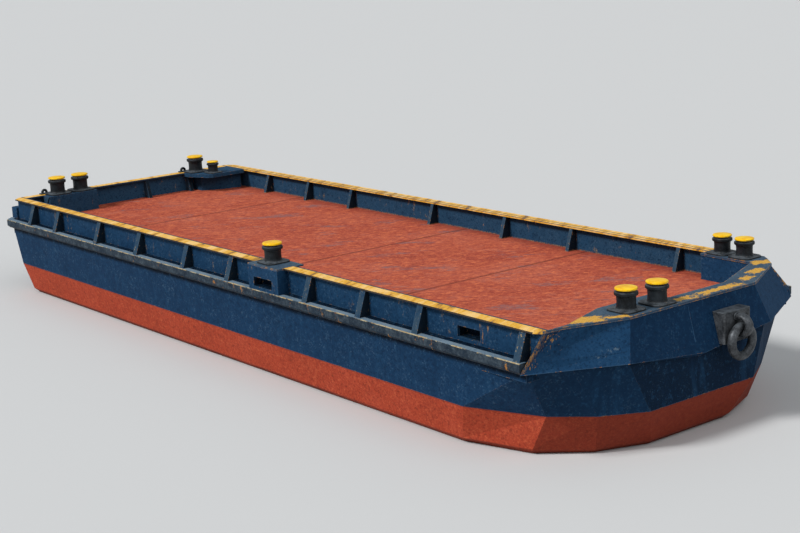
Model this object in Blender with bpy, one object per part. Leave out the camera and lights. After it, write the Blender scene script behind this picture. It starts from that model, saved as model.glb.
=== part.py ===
"""River barge: a flat-bottomed deck barge with a bulwark round a plated cargo deck.

Metres, +Z up. The bow points along +X and port along +Y. The origin is on the bottom, at the middle
of the length and of the beam. Stations are measured forward from the stern edge of the rub rail.
"""
from math import cos, pi, sin

import bmesh
import bpy

# Gap between pieces that touch, and how far fused pieces run into each other
gap = 0.0003
sink = 0.02

# Heights above the flat bottom
paint_line = 0.97
rub_bottom = 2.17
ledge_top = 2.43
deck_top = 2.45
wall_top = 3.06
rail_top = 3.10
bow_plate_top = 3.12

# Main sizes over all; the ledge and the walls end at the junction with the bow
half_beam = 4.50
junction = 25.15
bracket_front = 26.44

# Bulwark plate, its cap rail and the ledge outside it
wall_outer = 4.12
wall_inner = 4.06
rail_outer = 4.26
rail_inner = 3.90
stern_wall_outer = 0.46
stern_wall_inner = 0.52
stern_rail_outer = 0.33
stern_rail_inner = 0.69
rail_corner = 0.24
ledge_corner = 0.30
ledge_bevel = 0.07
upper_half_breadth = 4.31
upper_stern = 0.17
upper_corner = 0.20
wall_joint = 14.40

# Hull sections: each row is one level of the outside plating
# height, half breadth, stern, corner cut, side end,
# then x and y of the quarter, the shoulder and the front corner
hull_levels = (
    (0.00, 3.95, 0.82, 0.30, 22.60, 24.34, 3.46, 25.26, 2.46, 25.72, 1.25),
    (0.14, 4.09, 0.70, 0.30, 22.75, 24.46, 3.55, 25.40, 2.55, 25.88, 1.32),
    (0.97, 4.26, 0.45, 0.26, 23.00, 24.86, 3.50, 25.66, 2.74, 26.24, 1.72),
    (2.17, 4.32, 0.16, 0.20, 23.80, 25.06, 4.22, 25.60, 3.40, 26.13, 2.26),
)

# Stiffeners: stations, width along the wall, depth at the foot and at the head
outer_rib_stations = (1.86, 3.62, 6.33, 8.78, 11.42, 13.70, 17.28, 19.47, 21.61)
last_outer_rib = {"starboard": 25.00, "port": 24.30}
outer_rib = {"width": 0.20, "foot": 0.33, "head": 0.11}
inner_rib_stations = (3.33, 5.73, 8.14, 12.25, 15.50, 18.20, 22.07)
inner_rib = {"width": 0.12, "foot": 0.34, "head": 0.15}
stern_outer_ribs = (-3.90, -1.30, 1.30, 3.90)
stern_outer_foot = 0.28
stern_inner_rib = 0.63
shelf_rib = 2.30
rib_head = wall_top - 0.001

# Deck plating: stations of the seams between the four panels
deck_seams = (5.15, 13.66, 18.64)
seam_width = 0.012
deck_edge = 4.05
margin_inner = 3.70
margin_top = deck_top - 0.003

# Bow bulwark, from the knuckle at the rub rail's lower edge up to the top plate
knuckle_corner = (26.25, 2.33)
top_corner = (26.00, 2.05)
hip_foot = (junction, half_beam)
hip_root = (25.165, 4.47)
hip_head = {"starboard": (25.50, 3.66), "port": (25.12, 3.74)}
rail_end = {"starboard": (25.48, 4.12), "port": (24.72, 4.12)}
rail_taper = {"starboard": 25.28, "port": 24.52}
lean_foot = {"starboard": rub_bottom, "port": ledge_top}
bow_inner_front = 25.52
bow_inner_side = 0.30
pad_aft = 25.00
pad_outer = 1.98
pad_inner = 0.40
arm_inner = 3.40
port_box_aft = 23.10
port_box_inner = 3.58
port_box_outer = 4.05
port_chamfer = (24.70, 1.60)
plate_lip = 0.02

# Chin: below the knuckle the bow front sinks towards the middle; its underside slants back to the hull
chin_low = 1.94
chin_root = 1.84
chin_half = 2.30
chin_rise = 0.13

# Midships bollard foundation on the starboard ledge
foundation_start = 14.87
foundation_end = 16.20
foundation_outer = 4.47
seat_inner = 3.64
foundation_hole = {"start": 15.10, "end": 15.93, "low": 2.52, "high": 2.77, "depth": 0.28}

# Mooring pocket behind the starboard bulwark
pocket = {"start": 22.75, "end": 23.51, "low": 2.51, "high": 2.77, "depth": 0.22, "wall": 0.05}

# Stern mooring platforms, by station and offset: a box to starboard, and to port a shelf over a corner box
platform_front = 1.15
platform_outer = 3.30
platform_inner = 1.55
shelf_bottom = 2.98
shelf_start = 2.12
shelf_edge = ((1.02, 2.12), (1.20, 2.26), (1.72, 2.48), (1.80, 2.62), (1.80, rail_inner - gap))
shelf_box_start = 2.56
shelf_box_edge = ((1.08, 2.56), (1.50, 3.40), (1.56, rail_inner - gap))

# Tow bracket, eye and ring, to port of the middle on the bow
tow_offset = 0.93
bracket_width = 0.90
bracket_bottom = 2.03
bracket_top = 2.75
bracket_chamfer = 0.03
eye_height = 2.42
eye_bar = 0.08
eye_hole = 0.115
eye_reach = 0.125
ring_bar = 0.105
ring_radius = 0.345
ring_play = 0.0006
bend_steps = 24
bar_sides = 12
ring_steps = 36

# Bollards: flange half width and thickness, post and collar radius, heights above the seat
bollard_form = {
    "flange": 0.36, "flange_corner": 0.20, "flange_thick": 0.06, "post": 0.205, "weld": 0.03,
    "collar": 0.275, "collar_slope": 0.03, "collar_low": 0.42, "collar_high": 0.50,
    "cap": 0.258, "cap_thick": 0.045, "bevel": 0.012,
}
round_steps = 6
# name, station, offset to port, seat height, size
bollards = (
    ("stern_starboard_outer", 0.73, -2.79, rail_top, 1.08),
    ("stern_starboard_inner", 0.73, -1.95, rail_top, 1.08),
    ("stern_port_large", 0.73, 2.57, rail_top, 1.08),
    ("stern_port_small", 1.46, 2.84, rail_top, 0.78),
    ("midships", 15.36, -4.00, rail_top, 1.0),
    ("bow_starboard_outer", 25.56, -1.70, bow_plate_top, 0.98),
    ("bow_starboard_inner", 25.65, -0.82, bow_plate_top, 0.98),
    ("bow_port_aft", 23.51, 3.90, bow_plate_top, 0.92),
    ("bow_port_forward", 24.20, 3.90, bow_plate_top, 0.92),
)

overall_length = bracket_front + eye_reach + eye_hole + 2 * eye_bar
mid_station = overall_length / 2

# Paints: colour, roughness, metallic
paints = {
    "navy_paint": ((0.030, 0.072, 0.135), 0.55, 0.0),
    "red_bottom_paint": ((0.330, 0.052, 0.030), 0.75, 0.0),
    "red_deck_paint": ((0.400, 0.080, 0.050), 0.80, 0.0),
    "yellow_paint": ((0.720, 0.380, 0.030), 0.50, 0.0),
    "worn_blue_paint": ((0.080, 0.130, 0.190), 0.60, 0.0),
    "black_iron": ((0.025, 0.026, 0.028), 0.50, 0.6),
    "yellow_cap_paint": ((0.850, 0.560, 0.010), 0.30, 0.0),
    "forged_iron": ((0.060, 0.062, 0.066), 0.45, 0.8),
}


def clear_scene():
    """Remove every object that is already there."""
    for item in list(bpy.data.objects):
        bpy.data.objects.remove(item)


def paint(name):
    """Return the named paint, making it the first time."""
    material = bpy.data.materials.get(name)
    if material is None:
        colour, roughness, metallic = paints[name]
        material = bpy.data.materials.new(name)
        material.use_nodes = True
        shader = material.node_tree.nodes["Principled BSDF"]
        shader.inputs["Base Color"].default_value = (*colour, 1.0)
        shader.inputs["Roughness"].default_value = roughness
        shader.inputs["Metallic"].default_value = metallic
    return material


def place(name, mesh, paint_name, origin=(0.0, 0.0, 0.0)):
    """Make an object of the mesh at its origin, in world coordinates."""
    item = bpy.data.objects.new(name, mesh)
    item.location = origin
    mesh.materials.append(paint(paint_name))
    bpy.context.scene.collection.objects.link(item)
    return item


def loft(name, rings, paint_name, origin=(0.0, 0.0, 0.0), closed=False, folded=False):
    """Skin a solid over rings that all have the same number of points.

    The first and last rings are filled, or joined to each other where closed is set. Where folded
    is set, each side is two triangles that meet along the diagonal that rises towards the bow.
    """
    shape = bmesh.new()
    rows = [[shape.verts.new(point) for point in ring] for ring in rings]
    count = len(rings[0])
    pairs = list(zip(rows, rows[1:]))
    if closed:
        pairs.append((rows[-1], rows[0]))
    else:
        shape.faces.new(rows[0])
        shape.faces.new(rows[-1])
    for low, high in pairs:
        for i in range(count):
            j = (i + 1) % count
            if not folded:
                shape.faces.new((low[i], low[j], high[j], high[i]))
            elif low[i].co.x < low[j].co.x:
                shape.faces.new((low[i], low[j], high[j]))
                shape.faces.new((low[i], high[j], high[i]))
            else:
                shape.faces.new((low[i], low[j], high[i]))
                shape.faces.new((low[j], high[j], high[i]))
    bmesh.ops.recalc_face_normals(shape, faces=shape.faces)
    mesh = bpy.data.meshes.new(name)
    shape.to_mesh(mesh)
    shape.free()
    return place(name, mesh, paint_name, origin)


def at_level(outline, height):
    """Stations and offsets of an outline as world points at one height."""
    return [(x - mid_station, y, height) for x, y in outline]


def prism(name, outline, bottom, top, paint_name):
    """An outline in plan, raised from bottom to top."""
    return loft(name, [at_level(outline, bottom), at_level(outline, top)], paint_name)


def box(name, x_range, y_range, z_range, paint_name):
    """A plain box between stations, offsets and heights."""
    outline = [(x_range[0], y_range[0]), (x_range[1], y_range[0]),
               (x_range[1], y_range[1]), (x_range[0], y_range[1])]
    return prism(name, outline, z_range[0], z_range[1], paint_name)


def extruded_across(name, section, y_range, paint_name):
    """A section in station and height, extruded across the barge."""
    rings = [[(x - mid_station, y, z) for x, z in section] for y in y_range]
    return loft(name, rings, paint_name)


def round_off(item, angle=0.6):
    """Shade smooth, with edges sharper than the angle kept."""
    item.data.shade_smooth()
    item.data.set_sharp_from_angle(angle=angle)


def combine(target, tool, operation):
    """Add or cut another solid, which then stays as a hidden guide."""
    step = target.modifiers.new(operation.lower(), "BOOLEAN")
    step.operation = operation
    step.object = tool
    tool.hide_render = True
    tool.display_type = "WIRE"


def mirrored(outline):
    """The outline on the other side, in reverse order."""
    return [(x, -y) for x, y in reversed(outline)]


def hull_outline(level):
    """Plan of the hull at one level, clockwise from the stern on the port side."""
    _, half, stern, cut, side_end, qx, qy, sx, sy, fx, fy = level
    port = [(stern, half - cut), (stern + cut, half), (side_end, half), (qx, qy), (sx, sy), (fx, fy)]
    return port + mirrored(port)


def bow_edges():
    """Outlines of the bow bulwark at its foot, at the ledge and at its head, in the same order."""
    inner = [
        (port_box_aft, port_box_inner), (port_chamfer[0], port_box_inner),
        (bow_inner_front, port_chamfer[1]), (bow_inner_front, -bow_inner_side),
        (pad_aft, -pad_inner), (pad_aft, -pad_outer),
    ]
    foot = inner + [(junction, -arm_inner)]
    foot += [(x, -y) for x, y in (hip_foot, hip_root, knuckle_corner)]
    foot += [knuckle_corner, hip_root, hip_foot, (junction, port_box_outer), (port_box_aft, port_box_outer)]
    head = inner + [(rail_end["starboard"][0], -arm_inner)]
    head += [(x, -y) for x, y in (rail_end["starboard"], hip_head["starboard"], top_corner)]
    head += [top_corner, hip_head["port"], rail_end["port"], (rail_end["port"][0], port_box_outer),
             (port_box_aft, port_box_outer)]
    part_way = (ledge_top - rub_bottom) / (wall_top - rub_bottom)
    middle = [(x0 + part_way * (x1 - x0), y0 + part_way * (y1 - y0))
              for (x0, y0), (x1, y1) in zip(foot, head)]
    # To port the end stands upright beside the ledge and leans aft above it
    for index in (-3, -2):
        middle[index] = (junction, middle[index][1])
    return foot, middle, head


def deck_front():
    """Forward edge of the deck, from port to starboard, just clear of the bow bulwark."""
    clear = 2 * gap
    return [
        (port_box_aft - clear, deck_edge), (port_box_aft - clear, port_box_inner - clear),
        (port_chamfer[0] - clear, port_box_inner - clear),
        (bow_inner_front - clear, port_chamfer[1] - clear),
        (bow_inner_front - clear, -bow_inner_side + clear),
        (pad_aft - clear, -pad_inner + clear), (pad_aft - clear, -pad_outer - clear),
        (junction - clear, -arm_inner - clear), (junction - clear, -deck_edge),
    ]


def make_hull():
    """Red bottom, blue topsides and the raised middle that carries the deck."""
    bottom = [at_level(hull_outline(level), level[0]) for level in hull_levels[:3]]
    loft("hull_bottom", bottom, "red_bottom_paint", folded=True)

    sides = [at_level(hull_outline(hull_levels[2]), paint_line + gap),
             at_level(hull_outline(hull_levels[3]), rub_bottom)]
    topsides = loft("hull_topsides", sides, "navy_paint", folded=True)

    cut = upper_corner
    stern = [(upper_stern + cut, -upper_half_breadth), (upper_stern, -upper_half_breadth + cut),
             (upper_stern, upper_half_breadth - cut), (upper_stern + cut, upper_half_breadth)]
    front = deck_front()
    front[0] = (port_box_aft - 2 * gap, upper_half_breadth)
    front[-1] = (junction - 2 * gap, -upper_half_breadth)
    raised = prism("raised_middle", stern + front, rub_bottom - 10 * sink, ledge_top, "navy_paint")
    combine(topsides, raised, "UNION")

    # The port ledge runs on outside the box in the bow; it is a hair lower, so no faces coincide
    hair = 0.001
    near, far = wall_inner + hair, upper_half_breadth - hair
    back, end = port_box_aft - 5 * sink, junction - 2 * gap
    strip = prism("port_ledge_strip", [(back, near), (back, far), (end, far), (end, near)],
                  rub_bottom - 8 * sink, ledge_top - hair / 2, "navy_paint")
    combine(topsides, strip, "UNION")


def make_deck():
    """Four panels of deck plating with seams between them and a slightly lower margin at the walls."""
    first = stern_wall_inner + gap
    edges = (first,) + deck_seams
    low = ledge_top + gap
    panels = []
    for number, (start, end) in enumerate(zip(edges, deck_seams), 1):
        begin = start + (seam_width / 2 if number > 1 else 0.0)
        panels.append(box(f"deck_panel_{number}", (begin, end - seam_width / 2), (-deck_edge, deck_edge),
                          (low, deck_top), "red_deck_paint"))
    start = deck_seams[-1] + seam_width / 2
    outline = [(start, -deck_edge), (start, deck_edge)] + deck_front()
    panels.append(prism(f"deck_panel_{len(edges)}", outline, low, deck_top, "red_deck_paint"))
    for panel in panels:
        for side_name, side in (("starboard", -1), ("port", 1)):
            cutter = box(f"margin_{side_name}_of_{panel.name}", (stern_wall_outer, junction),
                         (side * margin_inner, side * wall_outer), (margin_top, wall_top), "red_deck_paint")
            combine(panel, cutter, "DIFFERENCE")


def sunk(form, foot=None):
    """A stiffener's sizes with its root run into the wall that carries it."""
    return {"width": form["width"], "foot": (foot or form["foot"]) + sink, "head": form["head"] + sink}


def rib(name, station, root, out, form, z_range):
    """A tapered stiffener on a side wall, reaching out from its root."""
    half = form["width"] / 2
    rings = []
    for depth, height in ((form["foot"], z_range[0]), (form["head"], z_range[1])):
        outline = [(station - half, root), (station + half, root),
                   (station + half, root + out * depth), (station - half, root + out * depth)]
        rings.append(at_level(outline, height))
    return loft(name, rings, "navy_paint")


def stern_rib(name, offset, root, out, form, z_range):
    """A tapered stiffener on the stern wall."""
    half = form["width"] / 2
    rings = []
    for depth, height in ((form["foot"], z_range[0]), (form["head"], z_range[1])):
        outline = [(root, offset - half), (root, offset + half),
                   (root + out * depth, offset + half), (root + out * depth, offset - half)]
        rings.append(at_level(outline, height))
    return loft(name, rings, "navy_paint")


def make_side_bulwark(side_name, side):
    """One side wall in two lengths, with its stiffeners; side is 1 to port, -1 to starboard."""
    low = ledge_top + gap
    foot = lean_foot[side_name]
    slope = (rail_end[side_name][0] - junction) / (wall_top - foot)
    ends = [(junction - gap + slope * (z - foot), z) for z in (low, wall_top)]
    joint = [(wall_joint, low), (wall_joint, wall_top)]
    walls = {}
    for length, section in (
        ("aft", [(stern_wall_outer, low), *joint, (stern_wall_outer, wall_top)]),
        ("forward", [(wall_joint + gap, low), *ends, (wall_joint + gap, wall_top)]),
    ):
        walls[length] = extruded_across(f"bulwark_{side_name}_{length}", section,
                                        (side * wall_inner, side * wall_outer), "navy_paint")
    for number, station in enumerate((*outer_rib_stations, last_outer_rib[side_name]), 1):
        stiffener = rib(f"outer_rib_{side_name}_{number}", station, side * (wall_outer - sink), side,
                        sunk(outer_rib), (low, rib_head))
        combine(walls["aft" if station < wall_joint else "forward"], stiffener, "UNION")
    for number, station in enumerate(inner_rib_stations, 1):
        stiffener = rib(f"inner_rib_{side_name}_{number}", station, side * (wall_inner + sink), -side,
                        sunk(inner_rib), (margin_top + gap, rib_head))
        combine(walls["aft" if station < wall_joint else "forward"], stiffener, "UNION")
    return walls


def make_stern_bulwark():
    """The stern wall between the side walls, with its stiffeners."""
    low = ledge_top + gap
    reach = wall_inner - gap
    wall = box("bulwark_stern", (stern_wall_outer, stern_wall_inner), (-reach, reach), (low, wall_top),
               "navy_paint")
    for number, offset in enumerate(stern_outer_ribs, 1):
        stiffener = stern_rib(f"outer_rib_stern_{number}", offset, stern_wall_outer + sink, -1,
                              sunk(outer_rib, stern_outer_foot), (low, rib_head))
        combine(wall, stiffener, "UNION")
    for name, offset, top in (("inner_rib_stern", stern_inner_rib, rib_head),
                              ("shelf_rib_stern", shelf_rib, shelf_bottom - gap)):
        stiffener = stern_rib(name, offset, stern_wall_inner - sink, 1, sunk(inner_rib),
                              (deck_top + gap, top))
        combine(wall, stiffener, "UNION")


def make_cap_rails():
    """Flat yellow rails on top of the bulwarks."""
    low = wall_top + gap
    cut = rail_corner
    end, end_outer = rail_end["starboard"]
    tip = [(rail_taper["starboard"], rail_outer), (end - gap, end_outer), (end - gap, rail_inner)]
    aft = [(stern_rail_outer, -rail_inner), (stern_rail_outer, -rail_outer + cut),
           (stern_rail_outer + cut, -rail_outer), (foundation_start - gap, -rail_outer),
           (foundation_start - gap, -rail_inner)]
    prism("cap_rail_starboard_aft", aft, low, rail_top, "yellow_paint")
    forward = [(foundation_end + gap, -rail_inner), (foundation_end + gap, -rail_outer)]
    forward += [(x, -y) for x, y in tip]
    prism("cap_rail_starboard_forward", forward, low, rail_top, "yellow_paint")
    port = [(stern_rail_outer, rail_inner), (stern_rail_outer, rail_outer - cut),
            (stern_rail_outer + cut, rail_outer), (port_box_aft - gap, rail_outer),
            (port_box_aft - gap, rail_inner)]
    prism("cap_rail_port", port, low, rail_top, "yellow_paint")
    reach = rail_inner - gap
    box("cap_rail_stern", (stern_rail_outer, stern_rail_inner), (-reach, reach), (low, rail_top),
        "yellow_paint")


def rub_rail_rings(outer_points, inner_points):
    """Three levels of a rub rail whose lower edge is bevelled off."""
    rings = []
    for inset, height in ((ledge_bevel, rub_bottom + gap), (0.0, rub_bottom + ledge_bevel),
                          (0.0, ledge_top)):
        outer = [(x + inset * dx, y + inset * dy) for x, y, dx, dy in outer_points]
        rings.append(at_level(outer + inner_points, height))
    return rings


def make_rub_rails():
    """The ledge that runs along both sides and the stern."""
    cut = ledge_corner
    turn = 0.4
    inner_half = upper_half_breadth + gap
    inner_stern = upper_stern - gap
    stern_end = upper_half_breadth - upper_corner
    for side_name, side in (("starboard", -1), ("port", 1)):
        outer = [(0.0, side * (half_beam - cut), 1, -turn * side), (cut, side * half_beam, turn, -side),
                 (junction - gap, side * half_beam, 0, -side)]
        inner = [(junction - gap, side * inner_half), (upper_stern + upper_corner, side * inner_half),
                 (inner_stern, side * stern_end), (inner_stern - 3 * sink, side * stern_end)]
        loft(f"rub_rail_{side_name}", rub_rail_rings(outer, inner), "worn_blue_paint")
    reach = stern_end - gap
    outer = [(0.0, -reach, 1, 0), (0.0, reach, 1, 0)]
    inner = [(inner_stern, reach), (inner_stern, -reach)]
    loft("rub_rail_stern", rub_rail_rings(outer, inner), "worn_blue_paint")


def bow_front(height):
    """Station of the bow bulwark's sloping front at a height, also below the knuckle."""
    slope = (top_corner[0] - knuckle_corner[0]) / (wall_top - rub_bottom)
    return knuckle_corner[0] + slope * (height - rub_bottom)


def hull_front(height):
    """Station of the hull's front face at a height between the paint line and the rub rail."""
    low, high = hull_levels[2], hull_levels[3]
    return high[9] + (low[9] - high[9]) * (high[0] - height) / (high[0] - low[0])


def make_chin():
    """The wedge in front of the hull that lets the bow front sink towards the middle."""
    rings = []
    head = rub_bottom + chin_rise
    hair = 0.002
    for offset, share in ((-chin_half, hair), (0.0, 1.0), (chin_half, hair)):
        low = rub_bottom - share * (rub_bottom - chin_low)
        root = rub_bottom - share * (rub_bottom - chin_root)
        section = [(bow_front(head) - hair, head), (bow_front(low), low),
                   (hull_front(root) + 2 * gap, root), (hull_front(rub_bottom) + 2 * gap, head)]
        rings.append([(x - mid_station, offset, z) for x, z in section])
    return loft("bow_chin", rings, "navy_paint")


def make_bow():
    """The raised, sloping bow bulwark and the wide plate on top of it."""
    foot, middle, head = bow_edges()
    rings = [at_level(foot, rub_bottom + gap), at_level(middle, ledge_top), at_level(head, wall_top)]
    bulwark = loft("bow_bulwark", rings, "navy_paint")
    combine(bulwark, make_chin(), "UNION")
    lip = plate_lip
    plate = [
        (port_box_aft, port_box_inner - lip), (port_chamfer[0] - lip, port_box_inner - lip),
        (bow_inner_front - lip, port_chamfer[1] - lip), (bow_inner_front - lip, -bow_inner_side + lip),
        (pad_aft - lip, -pad_inner + lip), (pad_aft - lip, -pad_outer - lip),
        (rail_end["starboard"][0], -arm_inner - lip), (rail_end["starboard"][0], -rail_end["starboard"][1]),
        (hip_head["starboard"][0] + lip, -hip_head["starboard"][1] - lip),
        (top_corner[0] + lip, -top_corner[1] - lip), (top_corner[0] + lip, top_corner[1] + lip),
        (hip_head["port"][0] + lip, hip_head["port"][1] + lip),
        rail_end["port"], (rail_taper["port"], rail_outer), (port_box_aft, rail_outer),
    ]
    prism("bow_plate", plate, wall_top + gap, bow_plate_top, "worn_blue_paint")


def make_foundation():
    """The box on the starboard ledge that carries the midships bollard."""
    block = box("midships_foundation", (foundation_start, foundation_end),
                (-foundation_outer, -wall_outer - gap), (ledge_top + gap, wall_top), "navy_paint")
    hole = foundation_hole
    cutter = box("foundation_hole", (hole["start"], hole["end"]),
                 (-foundation_outer - sink, -foundation_outer + hole["depth"]),
                 (hole["low"], hole["high"]), "navy_paint")
    combine(block, cutter, "DIFFERENCE")
    box("midships_seat_plate", (foundation_start, foundation_end), (-foundation_outer, -seat_inner),
        (wall_top + gap, rail_top), "worn_blue_paint")


def make_pocket(wall):
    """The mooring pocket: a hole in the starboard wall with a closed box behind it."""
    size = pocket
    cutter = box("pocket_hole", (size["start"], size["end"]), (-wall_outer - sink, -wall_inner + sink),
                 (size["low"], size["high"]), "navy_paint")
    combine(wall, cutter, "DIFFERENCE")
    inner_face = -wall_inner + gap
    body = box("mooring_pocket", (size["start"] - size["wall"], size["end"] + size["wall"]),
               (inner_face, inner_face + size["depth"] + size["wall"]),
               (margin_top + gap, size["high"] + size["wall"]), "navy_paint")
    hollow = box("pocket_hollow", (size["start"], size["end"]),
                 (inner_face - sink, inner_face + size["depth"]), (size["low"], size["high"]), "navy_paint")
    combine(body, hollow, "DIFFERENCE")


def make_stern_platforms():
    """The box and the shelf inside the stern that carry bollards."""
    back = stern_wall_inner + gap
    step = stern_rail_inner + gap
    under = wall_top - gap
    section = [(back, deck_top + gap), (platform_front, deck_top + gap), (platform_front, rail_top),
               (step, rail_top), (step, under), (back, under)]
    extruded_across("stern_platform_starboard", section, (-platform_outer, -platform_inner), "navy_paint")

    outline = [(step, shelf_start), *shelf_edge, (step, rail_inner - gap)]
    shelf = prism("stern_shelf_port", outline, shelf_bottom, rail_top, "navy_paint")
    tongue = box("shelf_tongue", (back, step + sink), (shelf_start, wall_inner - 2 * gap),
                 (shelf_bottom, under), "navy_paint")
    combine(shelf, tongue, "UNION")
    outline = [(back, shelf_box_start), *shelf_box_edge, (back, rail_inner - gap)]
    corner_box = prism("shelf_corner_box", outline, deck_top + gap, shelf_bottom + sink, "navy_paint")
    combine(shelf, corner_box, "UNION")


def compass(steps):
    """Angles of a round ring, evenly spaced and symmetrical in each quarter."""
    return [pi / 2 * (quarter + (i + 0.5) / steps) for quarter in range(4) for i in range(steps)]


def circle(radius, height):
    """A round ring at one height."""
    return [(radius * cos(a), radius * sin(a), height) for a in compass(round_steps)]


def rounded_square(half, corner, height):
    """A square ring with round corners at one height."""
    points = []
    for a in compass(round_steps):
        centre_x = (half - corner) * (1 if cos(a) > 0 else -1)
        centre_y = (half - corner) * (1 if sin(a) > 0 else -1)
        points.append((centre_x + corner * cos(a), centre_y + corner * sin(a), height))
    return points


def make_bollard(name, station, offset, seat, size):
    """A post on its flange, with a collar and a yellow cap disc."""
    form = {key: value * size for key, value in bollard_form.items()}
    bevel = form["bevel"]
    thick = form["flange_thick"]
    flange = form["flange"]
    corner = form["flange_corner"]
    rings = [
        rounded_square(flange, corner, gap),
        rounded_square(flange, corner, thick - bevel),
        rounded_square(flange - bevel, corner - bevel, thick),
        circle(form["post"] + form["weld"], thick),
        circle(form["post"], thick + form["weld"]),
        circle(form["post"], form["collar_low"] - form["collar_slope"]),
        circle(form["collar"], form["collar_low"]),
        circle(form["collar"], form["collar_high"] - bevel),
        circle(form["collar"] - bevel, form["collar_high"]),
    ]
    origin = (station - mid_station, offset, seat)
    round_off(loft(f"bollard_{name}", rings, "black_iron", origin))
    cap = form["cap"]
    low = form["collar_high"] + gap
    top = form["collar_high"] + form["cap_thick"]
    cap_rings = [circle(cap, low), circle(cap, top - bevel), circle(cap - bevel, top)]
    round_off(loft(f"cap_{name}", cap_rings, "yellow_cap_paint", origin))


def make_tow_gear():
    """Wedge bracket, eye and hanging ring on the bow."""
    rings = []
    half = bracket_width / 2
    for height in (bracket_bottom, bracket_top):
        back = bow_front(height) + 2 * gap
        front = bracket_front
        side = half - bracket_chamfer
        outline = [(back, tow_offset - half), (front - bracket_chamfer, tow_offset - half),
                   (front, tow_offset - side), (front, tow_offset + side),
                   (front - bracket_chamfer, tow_offset + half), (back, tow_offset + half)]
        rings.append(at_level(outline, height))
    loft("tow_bracket", rings, "forged_iron")

    bend = eye_hole + eye_bar
    path = [(0.0, bend, 0.0)]
    for i in range(bend_steps + 1):
        a = pi * i / bend_steps
        path.append((eye_reach + bend * sin(a), bend * cos(a), a))
    path.append((0.0, -bend, pi))
    eye_rings = []
    for x, z, turn in path:
        ring = []
        for k in range(bar_sides):
            a = 2 * pi * k / bar_sides
            out = eye_bar * cos(a)
            ring.append((x + out * sin(turn), eye_bar * sin(a), z + out * cos(turn)))
        eye_rings.append(ring)
    root = (bracket_front + gap - mid_station, tow_offset, eye_height)
    round_off(loft("tow_eye", eye_rings, "forged_iron", root))

    ring_rings = []
    for i in range(ring_steps):
        a = 2 * pi * i / ring_steps
        ring = []
        for k in range(bar_sides):
            b = 2 * pi * k / bar_sides
            reach = ring_radius + ring_bar * cos(b)
            ring.append((ring_bar * sin(b), reach * sin(a), reach * cos(a) - ring_radius))
        ring_rings.append(ring)
    hinge = (bracket_front + eye_reach - mid_station, tow_offset,
             eye_height - eye_hole + ring_bar + ring_play)
    round_off(loft("tow_ring", ring_rings, "forged_iron", hinge, closed=True))


def main():
    """Build the whole barge."""
    clear_scene()
    make_hull()
    make_deck()
    starboard = make_side_bulwark("starboard", -1)["forward"]
    make_side_bulwark("port", 1)
    make_stern_bulwark()
    make_cap_rails()
    make_rub_rails()
    make_bow()
    make_foundation()
    make_pocket(starboard)
    make_stern_platforms()
    for row in bollards:
        make_bollard(*row)
    make_tow_gear()


main()
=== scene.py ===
from math import atan, cos, pi, radians, sin

import bmesh
import bpy
from mathutils import Matrix, Vector


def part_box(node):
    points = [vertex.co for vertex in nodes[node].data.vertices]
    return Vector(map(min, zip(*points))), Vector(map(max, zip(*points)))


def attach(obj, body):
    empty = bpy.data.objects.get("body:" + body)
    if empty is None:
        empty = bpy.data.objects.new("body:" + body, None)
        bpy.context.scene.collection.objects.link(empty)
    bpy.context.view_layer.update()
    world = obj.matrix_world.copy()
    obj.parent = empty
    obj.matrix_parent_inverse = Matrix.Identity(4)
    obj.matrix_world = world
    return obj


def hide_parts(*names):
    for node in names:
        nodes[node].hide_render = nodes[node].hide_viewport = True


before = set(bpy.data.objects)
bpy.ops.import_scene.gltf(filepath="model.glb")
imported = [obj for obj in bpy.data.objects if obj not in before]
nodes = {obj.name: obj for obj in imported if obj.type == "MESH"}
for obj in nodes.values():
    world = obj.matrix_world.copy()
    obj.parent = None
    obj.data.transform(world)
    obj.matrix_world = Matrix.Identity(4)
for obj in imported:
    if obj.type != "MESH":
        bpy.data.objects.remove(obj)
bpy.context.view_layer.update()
midStation = 13.42  # stations are counted from the stern, world x from the middle
gap = 0.0004  # keeps a fitting's face clear of the one that carries it
print("frame loaded:", len(nodes), "nodes")


# A socket of the finish being mixed, so that masks can be written as sums
class Wire:
    def __init__(self, finish, socket):
        self.finish = finish
        self.socket = socket

    def maths(self, operation, *others):
        return self.finish.node("ShaderNodeMath", {"operation": operation}, [self, *others])

    def __add__(self, other):
        return self.maths("ADD", other)

    def __sub__(self, other):
        return self.maths("SUBTRACT", other)

    def __rsub__(self, other):
        return self.finish.node("ShaderNodeMath", {"operation": "SUBTRACT"}, [other, self])

    def __mul__(self, other):
        return self.maths("MULTIPLY", other)

    def __abs__(self):
        return self.maths("ABSOLUTE")

    def __gt__(self, other):
        return self.maths("GREATER_THAN", other)

    def __lt__(self, other):
        return self.maths("LESS_THAN", other)

    __radd__ = __add__
    __rmul__ = __mul__

    def most(self, other):
        return self.maths("MAXIMUM", other)

    def within(self, low, high):
        return (self > low) * (self < high)

    # 0 at start, 1 at full, and smooth between; works downhill too
    def ease(self, start, full):
        settings = {"interpolation_type": "SMOOTHSTEP"}
        if start < full:
            return self.finish.node("ShaderNodeMapRange", settings, [self, start, full, 0.0, 1.0])
        return self.finish.node("ShaderNodeMapRange", settings, [self, full, start, 1.0, 0.0])


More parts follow.
